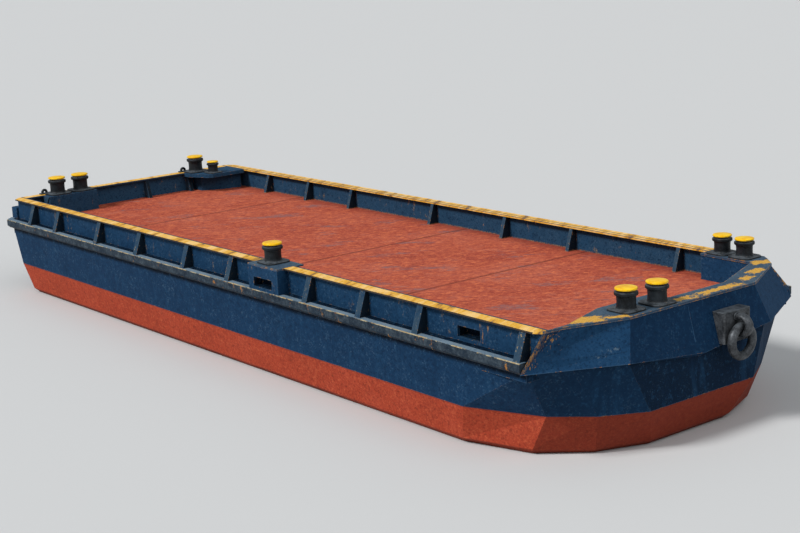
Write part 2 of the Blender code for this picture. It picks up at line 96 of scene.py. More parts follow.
class Finish:
    def __init__(self, name, shine, metallic=0.0):
        self.material = bpy.data.materials.new(name)
        self.material.use_nodes = True
        self.tree = self.material.node_tree
        self.shader = self.tree.nodes["Principled BSDF"]
        self.shader.inputs["Metallic"].default_value = metallic
        self.shader.inputs["Specular IOR Level"].default_value = shine
        self.place = self.node("ShaderNodeTexCoord", output="Object")
        self.facing = self.node("ShaderNodeNewGeometry", output="True Normal")
        self.x, self.y, self.z = self.parts(self.place)
        self.facingX, self.facingY, self.facingZ = self.parts(self.facing)

    def node(self, kind, settings=None, values=None, output=0):
        made = self.tree.nodes.new(kind)
        for key, value in (settings or {}).items():
            if key == "stops":
                stops = made.color_ramp.elements
                while len(stops) < len(value):
                    stops.new(1.0)
                for stop, (at, colour) in zip(stops, value):
                    stop.position = at
                    stop.color = (*colour, 1.0)
            else:
                setattr(made, key, value)
        pairs = values.items() if isinstance(values, dict) else enumerate(values or [])
        for key, value in pairs:
            if isinstance(value, Wire):
                self.tree.links.new(value.socket, made.inputs[key])
            else:
                made.inputs[key].default_value = value
        return Wire(self, made.outputs[output])

    def parts(self, vector):
        split = self.node("ShaderNodeSeparateXYZ", None, [vector]).socket.node
        return [Wire(self, socket) for socket in split.outputs]

    # Stretched, it runs long where the stretch is small, and turn swings that direction about Z
    def noise(self, scale, detail, roughness, stretch=None, turn=0.0, lumps=0.0):
        place = self.place
        if stretch:
            place = self.node("ShaderNodeMapping", {"vector_type": "TEXTURE"},
                              {"Vector": place, "Rotation": (0.0, 0.0, radians(turn)),
                               "Scale": [1 / part for part in stretch]})
        return self.node("ShaderNodeTexNoise", {"noise_dimensions": "3D"},
                         {"Vector": place, "Scale": scale, "Detail": detail,
                          "Roughness": roughness, "Distortion": lumps})

    # The noises of a look, by name: each is a scale, detail and roughness, and may have a stretch
    def noises(self, table, turn=0.0):
        return {name: self.noise(*settings, turn=turn) for name, settings in table.items()}

    def ramp(self, factor, stops):
        return self.node("ShaderNodeValToRGB", {"stops": stops}, [factor])

    def mix(self, factor, under, over):
        values = {0: factor}
        for slot, colour in ((6, under), (7, over)):
            values[slot] = colour if isinstance(colour, Wire) else (*colour, 1.0)
        return self.node("ShaderNodeMix", {"data_type": "RGBA", "clamp_factor": True}, values, output=2)

    # Lays coats over a colour: each has its noise, where that starts and is full, its strength and colour
    def coats(self, colour, noises, rows):
        for name, start, full, strength, over in rows:
            colour = self.mix(noises[name].ease(start, full) * strength, colour, palette[over])
        return colour

    # 0 on flat plating and 1 on corners, within a distance of them
    def corner(self, reach):
        soft = self.node("ShaderNodeBevel", {"samples": 6}, {"Radius": reach})
        match = self.node("ShaderNodeVectorMath", {"operation": "DOT_PRODUCT"}, [soft, self.facing],
                          output="Value")
        return (1.0 - match).ease(0.0, 0.12)

    def finish(self, colour, roughness, height, bump):
        raised = self.node("ShaderNodeBump", None,
                           {"Strength": bump["strength"], "Distance": bump["distance"], "Height": height})
        for wire, socket in ((colour, "Base Color"), (roughness, "Roughness"), (raised, "Normal")):
            self.tree.links.new(wire.socket, self.shader.inputs[socket])
        return self.material


# Colours of the paints, the dirt and the wear
palette = {
    "navyDeep": (0.0040, 0.018, 0.046),
    "navy": (0.0072, 0.032, 0.078),
    "navyPale": (0.012, 0.052, 0.115),
    "greyBlue": (0.050, 0.098, 0.155),
    "greyBluePale": (0.115, 0.165, 0.205),
    "greyBrown": (0.052, 0.064, 0.072),
    "ribGrey": (0.036, 0.062, 0.084),
    "ribShade": (0.0030, 0.0065, 0.0110),
    "ochre": (0.46, 0.215, 0.040),
    "goldDull": (0.42, 0.300, 0.130),
    "gold": (0.73, 0.385, 0.034),
    "goldPale": (0.84, 0.540, 0.190),
    "rust": (0.260, 0.085, 0.022),
    "rustDark": (0.120, 0.060, 0.022),
    "bare": (0.150, 0.180, 0.205),
    "bareTop": (0.110, 0.125, 0.140),
    "bottomRed": (0.370, 0.050, 0.022),
    "bottomPale": (0.560, 0.120, 0.050),
    "bottomDark": (0.150, 0.022, 0.012),
    "deckRed": (0.375, 0.072, 0.040),
    "deckPale": (0.440, 0.130, 0.085),
    "deckDark": (0.215, 0.036, 0.024),
    "deckOrange": (0.660, 0.172, 0.070),
    "deckScuff": (0.165, 0.110, 0.120),
    "deckSeam": (0.090, 0.024, 0.018),
}
# Heights in the frame, taken from its nodes
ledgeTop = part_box("rub_rail_starboard")[1].z
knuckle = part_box("rub_rail_starboard")[0].z
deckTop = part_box("deck_panel_1")[1].z
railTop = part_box("cap_rail_stern")[1].z
# Depth and strength of the relief in each paint or casting
bumps = {
    "fine": {"distance": 0.003, "strength": 0.6},
    "plate": {"distance": 0.004, "strength": 0.6},
    "iron": {"distance": 0.004, "strength": 0.7},
    "bottom": {"distance": 0.006, "strength": 0.7},
    "deck": {"distance": 0.008, "strength": 0.6},
    "hull": {"distance": 0.008, "strength": 0.7},
}

# Navy hull paint: broad tone, washes that run down, speckle, scratches and chipped corners
navyLook = {
    "shine": 0.05,
    "noises": {
        "tone": (0.6, 4.0, 0.6), "blotch": (2.6, 5.0, 0.68), "mottle": (9.0, 4.0, 0.72),
        "speck": (19.0, 3.0, 0.80), "flake": (7.0, 6.0, 0.72), "wash": (2.8, 4.0, 0.62, (1.0, 1.0, 0.16)),
        "scratch": (3.0, 5.0, 0.75, (0.5, 0.5, 5.0)), "run": (6.0, 5.0, 0.72, (1.0, 1.0, 0.30)),
    },
    "tones": ((0.30, (0.0062, 0.028, 0.069)), (0.50, palette["navy"]), (0.75, (0.0080, 0.036, 0.088))),
    "coats": (
        ("wash", 0.52, 0.72, 0.50, "navyPale"), ("blotch", 0.45, 0.30, 0.45, "navyDeep"),
        ("mottle", 0.53, 0.66, 0.50, "navyPale"), ("mottle", 0.46, 0.34, 0.65, "navyDeep"),
        ("speck", 0.46, 0.36, 0.65, "navyDeep"),
    ),
    "rubbed": {"specks": (0.54, 0.64), "patches": (0.70, 0.88), "strength": 0.85, "lessOnFront": 0.6},
    "ribs": {"grey": 0.65, "dots": 0.75, "dotEdge": (0.58, 0.63), "shade": 0.80},
    "scratches": (("scratch", 0.70, 0.78, 0.50, "greyBluePale"),),
    "corner": {"reach": 0.030, "pale": 0.45, "chips": (0.55, 0.60), "bared": 0.8},
    "bared": ((0.35, palette["rust"]), (0.5, palette["ochre"]), (0.65, palette["goldDull"])),
    "weeps": {"runs": (0.61, 0.66), "breaks": (0.46, 0.60),
              "tones": ((0.40, palette["rustDark"]), (0.60, palette["goldDull"]))},
}


def makeNavy(name, ribs=None, weeps=0.0, extra=None, shade=None):
    look = navyLook
    f = Finish(name, look["shine"])
    n = f.noises(look["noises"])
    blotch, mottle, speck = n["blotch"], n["mottle"], n["speck"]
    colour = f.ramp(n["tone"], look["tones"])
    if shade:
        colour = shade(f, colour)
    colour = f.coats(colour, n, look["coats"])
    rub = look["rubbed"]
    rubbed = speck.ease(*rub["specks"]) * (blotch + mottle * 0.5).ease(*rub["patches"])
    # fewer pale specks on forward faces, keeping the painted shade there dark
    rubbed = rubbed * (1.0 - f.facingX.ease(0.3, 0.9) * rub["lessOnFront"])
    colour = f.mix(rubbed * rub["strength"], colour, palette["greyBlue"])
    if ribs:
        wear = look["ribs"]
        worn = ribs(f)
        dots = (mottle * 0.5 + speck * 0.5).ease(*wear["dotEdge"])
        colour = f.mix(worn * blotch.ease(0.30, 0.50) * wear["grey"], colour, palette["ribGrey"])
        colour = f.mix(worn * dots * wear["dots"], colour, palette["goldDull"])
        # painted shade: the ribs' forward-facing sides are painted near-black
        colour = f.mix(worn * (f.facingX > 0.6) * wear["shade"], colour, palette["ribShade"])
    colour = f.coats(colour, n, look["scratches"])
    corner = f.corner(look["corner"]["reach"])
    bared = corner * n["flake"].ease(*look["corner"]["chips"])
    colour = f.mix(corner * look["corner"]["pale"], colour, palette["greyBlue"])
    if extra:
        bared = bared.most(extra(f, n["flake"]))
    colour = f.mix(bared * look["corner"]["bared"], colour, f.ramp(speck, look["bared"]))
    if weeps:
        weep = n["run"].ease(*look["weeps"]["runs"]) * mottle.ease(*look["weeps"]["breaks"])
        colour = f.mix(weep * weeps, colour, f.ramp(speck, look["weeps"]["tones"]))
    rough = 0.55 + speck * 0.16 + bared * 0.2
    height = blotch * 1.2 + mottle * 0.8 + speck * 0.50 - bared * 0.5
    return f.finish(colour, rough, height, bumps["hull"])


# Where the ribs stand proud of the side walls, by offset, and of the stern wall, by station
ribLook = {"outside": 4.128, "inside": 4.052, "aft": 0.455, "forward": 0.525}


def sideRibs(f):
    return (abs(f.y) > ribLook["outside"]).most(abs(f.y) < ribLook["inside"])


def sternRibs(f):
    return (f.x < ribLook["aft"] - midStation).most(f.x > ribLook["forward"] - midStation)


# Side walls: a broken ochre line along the inner foot, and rust forward of the starboard mooring hole
wallLook = {
    "innerFace": 4.07,
    "foot": {"above": (0.030, 0.015), "breaks": (0.44, 0.52), "strength": 0.6},
    "rust": {"stations": (23.50, 23.80), "heights": (2.50, 2.93), "offset": -4.0,
             "streaks": (0.58, 0.66), "strength": 0.7},
    "paleToneAndPaintedLight": {
        "outside": {"strength": 0.35, "colour": (0.014, 0.052, 0.110)},
        "inside": {"strength": 0.80, "colour": (0.022, 0.064, 0.118)},
        "stern": {"strength": 0.80, "colour": (0.028, 0.080, 0.145)},
    },
}


def wallWear(f, flake):
    foot, rust = wallLook["foot"], wallLook["rust"]
    line = (f.z.ease(*(deckTop + above for above in foot["above"])) * (abs(f.y) < wallLook["innerFace"])
            * f.noise(28.0, 3.0, 0.7).ease(*foot["breaks"]))
    streak = f.noise(11.0, 4.0, 0.7, (1.0, 1.0, 0.2)).ease(*rust["streaks"])
    beside = (f.x.within(*(station - midStation for station in rust["stations"]))
              * f.z.within(*rust["heights"]) * (f.y < rust["offset"]))
    return (line * foot["strength"]).most(beside * streak * rust["strength"])


# The walls above the deck get a paler tone, and painted light inside and at the stern, which stand in shade
def wallTones(f, colour):
    outside, inside = wallLook["paleToneAndPaintedLight"]["outside"], wallLook["paleToneAndPaintedLight"]["inside"]
    colour = f.mix(outside["strength"], colour, outside["colour"])
    # painted light on the inner faces
    inner = (abs(f.y) < wallLook["innerFace"]) * (f.z > deckTop - 0.01)
    return f.mix(inner * inside["strength"], colour, inside["colour"])


def sternWallPaintedLight(f, colour):
    # painted light over the whole stern wall
    stern = wallLook["paleToneAndPaintedLight"]["stern"]
    return f.mix(stern["strength"], colour, stern["colour"])


# Bow faces: fine ochre chips in from the sloping edge beside the rails, and two faint scrapes.
# The front is painted darker as shade, and the corner plates paler as light.
bowLook = {
    "edgeFoot": 25.15, "edgeHead": 25.48, "reach": 0.26, "starboardOf": -3.0,
    "chips": {"near": 0.12, "flake": 0.40, "fine": 0.60, "edge": (0.668, 0.690)},
    "rim": {"half": (0.022, 0.008), "breaks": (0.44, 0.54), "strength": 0.9},
    "front": {"strength": 0.65, "colour": (0.0045, 0.022, 0.057)},
    "side": {"strength": 0.60, "colour": (0.012, 0.052, 0.120)},
    "scrapes": ({"at": (-2.62, 2.50), "long": 0.22, "high": 0.05},
                {"at": (-2.86, 2.38), "long": 0.18, "high": 0.04}),
    "scraped": {"ragged": 4.0, "edge": (0.3, 0.9), "breaks": (0.52, 0.60), "strength": 0.8},
}


def bowWear(f, flake):
    slope = (bowLook["edgeHead"] - bowLook["edgeFoot"]) / (railTop - knuckle)
    inwards = f.x - (bowLook["edgeFoot"] - midStation) - (f.z - knuckle) * slope
    fine = f.noise(22.0, 4.0, 0.75, (1.0, 1.0, 0.5))
    starboard = f.y < bowLook["starboardOf"]
    near = inwards.ease(bowLook["reach"], 0.0) * starboard
    chip, rim = bowLook["chips"], bowLook["rim"]
    chips = (near * chip["near"] + flake * chip["flake"] + fine * chip["fine"]).ease(*chip["edge"])
    line = abs(inwards).ease(*rim["half"]) * starboard * fine.ease(*rim["breaks"]) * rim["strength"]
    return chips.most(line) * (f.z > knuckle + 0.02)


def bowTones(f, colour):
    # painted shade on the front faces and painted light on the corner plates, by which way they face
    side = abs(f.facingY).ease(0.15, 0.35)
    colour = f.mix((1.0 - side) * bowLook["front"]["strength"], colour, bowLook["front"]["colour"])
    colour = f.mix(side * bowLook["side"]["strength"], colour, bowLook["side"]["colour"])
    worn = f.noise(14.0, 5.0, 0.8)
    scraped = bowLook["scraped"]
    for scrape in bowLook["scrapes"]:
        along = (f.y - scrape["at"][0]) * (1 / scrape["long"])
        above = (f.z - scrape["at"][1]) * (1 / scrape["high"])
        left = 1.0 - along * along - above * above + (worn - 0.5) * scraped["ragged"]
        left = left.ease(*scraped["edge"]) * (f.x > 0.0) * worn.ease(*scraped["breaks"])
        colour = f.mix(left * scraped["strength"], colour, palette["greyBluePale"])
    return colour


# The hull is painted darker on the front and less so round the corners, as shade, and has a painted shadow
# just under the rub rails
hullLook = {
    "corner": {"facing": (0.40, 0.75), "strength": 0.45, "colour": (0.0030, 0.012, 0.028)},
    "front": {"facing": (0.88, 0.97), "strength": 0.60, "colour": (0.0010, 0.005, 0.013)},
    "railShadow": {"below": (0.16, 0.02), "ragged": 0.10, "strength": 0.92, "colour": (0.0010, 0.003, 0.007)},
}


def hullPaintedShade(f, colour):
    # painted shade: forward faces darker, round the corners less so
    for area in (hullLook["corner"], hullLook["front"]):
        colour = f.mix(f.facingX.ease(*area["facing"]) * area["strength"], colour, area["colour"])
    # painted shadow just under the rub rails, kept off the forward faces
    railShadow = hullLook["railShadow"]
    ragged = f.noise(4.0, 5.0, 0.7) * railShadow["ragged"]
    under = (f.z + ragged).ease(*(knuckle - below for below in railShadow["below"]))
    under = under * (1.0 - f.facingX.ease(0.30, 0.60))
    return f.mix(under * railShadow["strength"], colour, railShadow["colour"])


# The two mooring holes in the starboard side are painted dark inside as shade, by station, offset and
# height
paintedHoleShade = {"dark": 0.92, "colour": (0.0010, 0.003, 0.006)}
holes = ({"x": (15.09, 15.94), "y": (-4.455, -4.15), "z": (2.515, 2.775)},
         {"x": (22.60, 23.66), "y": (-4.115, -3.825), "z": (2.46, 2.82)})


def boxTones(f, colour):
    # the walls' paler tone and painted light inside
    colour = wallTones(f, colour)
    # painted shade inside each hole
    for hole in holes:
        inside = (f.x.within(*(station - midStation for station in hole["x"]))
                  * f.y.within(*hole["y"]) * f.z.within(*hole["z"]))
        colour = f.mix(inside * paintedHoleShade["dark"], colour, paintedHoleShade["colour"])
    return colour


# Red bottom paint: fine speckle, painted shade along the bilge and on the raked ends
bottomLook = {
    "shine": 0.12,
    "noises": {"tone": (0.9, 4.0, 0.6), "mottle": (8.0, 5.0, 0.72), "speck": (19.0, 3.0, 0.80),
               "bandNoise": (1.6, 4.0, 0.6, (0.3, 0.3, 1.6))},
    "tones": ((0.28, (0.320, 0.044, 0.020)), (0.50, palette["bottomRed"]), (0.75, (0.405, 0.062, 0.030))),
    "coats": (
        ("mottle", 0.46, 0.34, 0.60, "bottomDark"), ("mottle", 0.54, 0.66, 0.45, "bottomPale"),
        ("speck", 0.54, 0.64, 0.50, "bottomPale"), ("speck", 0.46, 0.36, 0.60, "bottomDark"),
    ),
    "front": {"facing": (0.20, 0.80), "strength": 0.72, "colour": (0.125, 0.020, 0.011)},
    "bilge": {"heights": (0.26, 0.08), "ragged": 0.20, "strength": 0.70, "colour": (0.060, 0.018, 0.012)},
    "paintLine": {"heights": (0.955, 0.985), "ragged": 0.05, "strength": 0.5,
                  "colour": palette["bottomDark"]},
}


def makeBottom():
    look = bottomLook
    f = Finish("bottomRed", look["shine"])
    n = f.noises(look["noises"])
    colour = f.coats(f.ramp(n["tone"], look["tones"]), n, look["coats"])
    # painted shade on forward-facing faces
    front = look["front"]
    colour = f.mix(f.facingX.ease(*front["facing"]) * front["strength"], colour, front["colour"])
    # painted shade along the bilge near the floor; the paint line is a dark band in the paint
    for band in (look["bilge"], look["paintLine"]):
        level = (f.z + n["bandNoise"] * band["ragged"]).ease(*band["heights"])
        colour = f.mix(level * band["strength"], colour, band["colour"])
    height = n["speck"] * 0.6 + n["mottle"] * 0.8
    return f.finish(colour, 0.68 + n["speck"] * 0.2, height, bumps["bottom"])


# Brick-red deck plating, trodden and scuffed; seams are stations and offsets are from the middle
deckLook = {
    "shine": 0.12, "scuffTurn": 52,
    "noises": {"streak": (7.0, 5.0, 0.78, (0.55, 1.0, 1.0)), "grain": (16.0, 3.0, 0.80, (0.7, 1.0, 1.0)),
               "scuff": (1.3, 7.0, 0.75, (0.40, 1.0, 1.0))},
    "broad": (0.35, 5.0, 0.65), "patch": (1.5, 7.0, 0.78, (0.55, 1.0, 1.0)), "lumps": 0.6,
    "tones": ((0.32, (0.330, 0.056, 0.032)), (0.48, palette["deckRed"]), (0.72, (0.420, 0.100, 0.060))),
    "coats": (
        ("patch", 0.52, 0.64, 0.65, "deckPale"), ("patch", 0.46, 0.34, 0.60, "deckDark"),
        ("streak", 0.52, 0.61, 0.65, "deckOrange"), ("streak", 0.47, 0.37, 0.65, "deckDark"),
        ("grain", 0.53, 0.61, 0.40, "deckOrange"), ("grain", 0.47, 0.38, 0.48, "deckDark"),
    ),
    "scuffs": {"edge": (0.56, 0.64), "strength": 0.75},
    "walls": {"offsets": (3.30, 4.06), "middle": 0.15, "ragged": 0.3, "strength": 0.50},
    "seams": (5.15, 13.66, 18.64), "seamEdge": (0.10, 0.01), "seamStrength": 0.65,
}


def makeDeck():
    look = deckLook
    f = Finish("deckRed", look["shine"])
    turn = look["scuffTurn"]
    n = f.noises(look["noises"], turn)
    n["patch"] = f.noise(*look["patch"], turn=turn, lumps=look["lumps"])
    broad = f.noise(*look["broad"], lumps=look["lumps"])
    colour = f.coats(f.ramp(broad, look["tones"]), n, look["coats"])
    scuff = n["scuff"].ease(*look["scuffs"]["edge"]) * n["grain"].ease(0.36, 0.54)
    colour = f.mix(scuff * look["scuffs"]["strength"], colour, palette["deckScuff"])
    # painted shade along the foot of the walls
    walls = look["walls"]
    shade = abs(f.y + n["patch"] * walls["ragged"] - walls["middle"]).ease(*walls["offsets"])
    colour = f.mix(shade * walls["strength"], colour, palette["deckDark"])
    for seam in look["seams"]:
        near = abs(f.x - (seam - midStation)).ease(*look["seamEdge"])
        darkened = near * n["streak"].ease(0.3, 0.6)
        colour = f.mix(darkened * look["seamStrength"], colour, palette["deckSeam"])
    height = broad * 1.5 + n["streak"] * 0.6 + n["grain"] * 0.4
    return f.finish(colour, 0.70 + n["grain"] * 0.2, height, bumps["deck"])


# Ochre-yellow rail tops with slanting scuffs, a blue line along the inner edge and an outer face painted
# near-black; sides by offset from the middle, stern by station
railLook = {
    "shine": 0.15, "slant": {"side": 116, "stern": 166},
    "slanting": {"band": (3.2, 4.0, 0.65, (0.18, 1.0, 1.0)), "grain": (16.0, 4.0, 0.78, (0.4, 1.0, 1.0))},
    "flake": (6.5, 6.0, 0.75),
    "tones": ((0.36, (0.42, 0.190, 0.022)), (0.47, palette["gold"]), (0.60, palette["goldPale"])),
    "coats": (
        ("grain", 0.55, 0.66, 0.55, "goldPale"), ("grain", 0.45, 0.34, 0.65, "ochre"),
        ("band", 0.40, 0.36, 0.50, "greyBrown"),
    ),
    "corner": 0.025, "bared": 0.7,
    "innerSide": 3.945, "innerStern": 0.645, "outerSide": 4.24, "outerStern": 0.36,
    "line": {"offset": 4.09, "half": (0.035, 0.012), "breaks": (0.36, 0.44), "strength": 0.9},
    "innerColour": (0.022, 0.046, 0.080),
    "outerFace": {"breaks": (0.24, 0.32), "strength": 0.95, "colour": (0.0035, 0.010, 0.022)},
}


def makeRail(name, alongX):
    look = railLook
    f = Finish(name, look["shine"])
    n = f.noises(look["slanting"], look["slant"]["side" if alongX else "stern"])
    flake, grain = f.noise(*look["flake"]), n["grain"]
    colour = f.coats(f.ramp(n["band"], look["tones"]), n, look["coats"])
    bared = (f.corner(look["corner"]) * flake.ease(0.56, 0.62)).most(flake.ease(0.68, 0.70))
    colour = f.mix(bared * look["bared"], colour, palette["navy"])
    flat = f.facingZ > 0.5
    if alongX:
        line = look["line"]
        inner = (abs(f.y) - flake * 0.04).ease(look["innerSide"], look["innerSide"] - 0.02) * flat
        stripe = abs(f.y - line["offset"] + (flake - 0.5) * 0.06).ease(*line["half"])
        inner = inner.most(stripe * flake.ease(*line["breaks"]) * flat * line["strength"])
        outer = abs(f.y) > look["outerSide"]
    else:
        edge = look["innerStern"] - midStation
        inner = (f.x + flake * 0.04).ease(edge, edge + 0.02)
        outer = f.x < look["outerStern"] - midStation
    colour = f.mix(inner, colour, look["innerColour"])
    # outer side faces painted near-black
    face = look["outerFace"]
    darkened = (1.0 - flat) * outer * flake.ease(*face["breaks"])
    colour = f.mix(darkened * face["strength"], colour, face["colour"])
    return f.finish(colour, 0.44 + grain * 0.2, grain * 0.4 - bared * 0.8, bumps["fine"])


# Worn grey-blue plate; torn patches of yellow are left on it, by station, offset, half sizes and turn
plateLook = {
    "shine": 0.2,
    "noises": {"tone": (1.6, 5.0, 0.65), "grain": (17.0, 4.0, 0.80), "tear": (5.0, 7.0, 0.85),
               "spot": (9.0, 3.0, 0.6)},
    "tones": ((0.30, (0.022, 0.046, 0.078)), (0.52, (0.042, 0.076, 0.115)), (0.75, (0.070, 0.110, 0.150))),
    "coats": (("grain", 0.54, 0.64, 0.50, "greyBluePale"), ("grain", 0.46, 0.36, 0.60, "navyDeep")),
    "sides": 0.7,
    "gold": ((0.34, palette["ochre"]), (0.46, (0.55, 0.290, 0.032)), (0.64, (0.66, 0.400, 0.100))),
    "torn": 3.6, "farthest": 1.35,
    "corner": {"reach": 0.05, "pale": 0.4, "chips": (0.50, 0.56), "bared": 0.85},
    "rust": (("spot", 0.70, 0.73, 0.70, "rust"),),
    "patches": (
        {"at": (25.42, -2.92), "long": 0.56, "wide": 0.27, "turn": 0.90},
        {"at": (25.82, -2.26), "long": 0.28, "wide": 0.08, "turn": 1.20},
        {"at": (25.80, -0.27), "long": 0.40, "wide": 0.13, "turn": 1.45},
        {"at": (25.83, 1.02), "long": 0.66, "wide": 0.13, "turn": 1.57},
        {"at": (25.62, 2.22), "long": 0.26, "wide": 0.13, "turn": 1.75},
        {"at": (25.34, 2.92), "long": 0.28, "wide": 0.14, "turn": 1.70},
        {"at": (24.88, 3.72), "long": 0.28, "wide": 0.20, "turn": 1.10},
    ),
}


def makePlate(name, patches=()):
    look = plateLook
    f = Finish(name, look["shine"])
    n = f.noises(look["noises"])
    grain, tear = n["grain"], n["tear"]
    colour = f.coats(f.ramp(n["tone"], look["tones"]), n, look["coats"])
    top = f.facingZ > 0.5
    colour = f.mix((1.0 - top) * look["sides"], colour, palette["navy"])
    gold = f.ramp(grain, look["gold"])
    for patch in patches:
        dx = f.x - (patch["at"][0] - midStation)
        dy = f.y - patch["at"][1]
        along = abs(dx * cos(patch["turn"]) + dy * sin(patch["turn"])) * (1 / patch["long"])
        across = abs(dy * cos(patch["turn"]) - dx * sin(patch["turn"])) * (1 / patch["wide"])
        away = along.most(across)
        left = (1.0 - away + (tear - 0.5) * look["torn"]).ease(0.0, 0.14)
        colour = f.mix(left * top * (away < look["farthest"]), colour, gold)
    corner = f.corner(look["corner"]["reach"])
    colour = f.mix(corner * look["corner"]["pale"], colour, palette["greyBluePale"])
    bared = corner * tear.ease(*look["corner"]["chips"])
    colour = f.mix(bared * look["corner"]["bared"], colour, palette["ochre"])
    colour = f.coats(colour, n, look["rust"])
    return f.finish(colour, 0.52 + grain * 0.2, grain * 0.4 + n["tone"], bumps["plate"])


# Ledge and rub rail: top painted pale as light and face painted dark as shade, dashed ochre edge, knocked
# and rusty face
ledgeLook = {
    "shine": 0.12,
    "noises": {"tone": (1.1, 5.0, 0.65), "grain": (17.0, 4.0, 0.80), "patch": (5.0, 5.0, 0.75),
               "knock": (3.6, 6.0, 0.78, (1.2, 1.2, 0.7)), "dash": (1.6, 7.0, 0.88)},
    "upper": ((0.30, (0.110, 0.170, 0.225)), (0.52, (0.150, 0.215, 0.275)), (0.78, (0.200, 0.270, 0.330))),
    "lower": ((0.36, (0.007, 0.015, 0.027)), (0.50, (0.020, 0.032, 0.046)), (0.64, (0.050, 0.068, 0.084))),
    "worn": {"face": 0.25, "moreOnTop": 0.35},
    "grainDark": (("grain", 0.46, 0.36, 0.50, "navyDeep"),),
    "knocked": {"edge": (0.615, 0.65), "lessOnTop": 0.7, "strength": 0.85,
                "tones": ((0.38, palette["rust"]), (0.56, palette["ochre"]))},
    "edge": {"depths": (0.026, 0.012), "side": 4.47, "stern": 0.03, "breaks": (0.46, 0.52),
             "strength": 0.85, "tones": ((0.40, (0.40, 0.24, 0.07)), (0.55, (0.56, 0.48, 0.30)))},
}


def makeLedge(name, alongX):
    look = ledgeLook
    f = Finish(name, look["shine"])
    n = f.noises(look["noises"])
    tone, grain, patch = n["tone"], n["grain"], n["patch"]
    # painted light on the top and painted shade on the face
    top = f.facingZ.ease(0.5, 0.8)
    colour = f.mix(top, f.ramp(patch, look["lower"]), f.ramp(tone, look["upper"]))
    worn = grain.ease(0.54, 0.64) * (look["worn"]["face"] + top * look["worn"]["moreOnTop"])
    colour = f.mix(worn, colour, palette["greyBluePale"])
    colour = f.coats(colour, n, look["grainDark"])
    knocked = look["knocked"]
    rusty = n["knock"].ease(*knocked["edge"]) * (1.0 - top * knocked["lessOnTop"])
    colour = f.mix(rusty * knocked["strength"], colour, f.ramp(grain, knocked["tones"]))
    edge = look["edge"]
    outer = (abs(f.y) > edge["side"]) if alongX else (f.x < edge["stern"] - midStation)
    line = (f.z - tone * 0.006).ease(*(ledgeTop - depth for depth in edge["depths"])) * outer
    dashed = line * n["dash"].ease(*edge["breaks"])
    colour = f.mix(dashed * edge["strength"], colour, f.ramp(grain, edge["tones"]))
    return f.finish(colour, 0.55 + grain * 0.2, grain * 0.5 + patch * 0.8, bumps["hull"])


# Black castings and forged iron, rubbed grey, with a little ochre on the corners
ironLook = {
    "noises": {"tone": (4.5, 5.0, 0.68), "grain": (30.0, 4.0, 0.78), "flake": (12.0, 5.0, 0.7)},
    "corner": {"reach": 0.02, "pale": 0.45, "chips": (0.60, 0.66), "bared": 0.60},
    "rust": (("flake", 0.71, 0.74, 0.40, "rust"),),
    "cast": {"dark": (0.0035, 0.0050, 0.0065), "rubbed": (0.019, 0.024, 0.029),
             "metallic": 0.0, "shine": 0.20, "topRub": 0.60},
    "forged": {"dark": (0.012, 0.014, 0.017), "rubbed": (0.110, 0.118, 0.128),
               "metallic": 0.55, "shine": 0.50, "topRub": 0.70},
}


def makeIron(name, kind):
    look, iron = ironLook, ironLook[kind]
    f = Finish(name, iron["shine"], iron["metallic"])
    n = f.noises(look["noises"])
    tone, grain, flake = n["tone"], n["grain"], n["flake"]
    colour = f.ramp(tone, ((0.36, iron["dark"]), (0.68, iron["rubbed"])))
    colour = f.mix(grain.ease(0.53, 0.66) * 0.55, colour, iron["rubbed"])
    colour = f.mix(grain.ease(0.46, 0.36) * 0.60, colour, iron["dark"])
    top = f.facingZ.ease(0.5, 0.9) * iron["topRub"] * tone.ease(0.30, 0.60)
    colour = f.mix(top, colour, palette["bareTop"])
    corner = f.corner(look["corner"]["reach"])
    colour = f.mix(corner * look["corner"]["pale"], colour, palette["bare"])
    chipped = corner * flake.ease(*look["corner"]["chips"])
    colour = f.mix(chipped * look["corner"]["bared"], colour, palette["ochre"])
    colour = f.coats(colour, n, look["rust"])
    return f.finish(colour, 0.32 + grain * 0.34, grain * 0.8 + tone, bumps["iron"])


# Glossy yellow of the bollard heads, worn through at the rim
capLook = {
    "shine": 0.2,
    "noises": {"tone": (5.0, 5.0, 0.65), "grain": (30.0, 4.0, 0.75)},
    "tones": ((0.34, (0.76, 0.38, 0.002)), (0.50, (0.86, 0.50, 0.004)), (0.68, (0.90, 0.62, 0.03))),
    "rim": {"tilt": (0.80, 0.95), "breaks": (0.52, 0.58)},
    "bared": {"strength": 0.6, "colour": (0.090, 0.066, 0.020)},
}


def makeCapYellow():
    look = capLook
    f = Finish("capYellow", look["shine"])
    n = f.noises(look["noises"])
    bared = (1.0 - f.facingZ).ease(*look["rim"]["tilt"]) * n["tone"].ease(*look["rim"]["breaks"])
    bared = bared.most(n["grain"].ease(0.73, 0.76) * 0.6)
    colour = f.ramp(n["tone"], look["tones"])
    colour = f.mix(bared * look["bared"]["strength"], colour, look["bared"]["colour"])
    return f.finish(colour, 0.22 + n["grain"] * 0.2, n["tone"] * 0.6 - bared * 0.5, bumps["fine"])


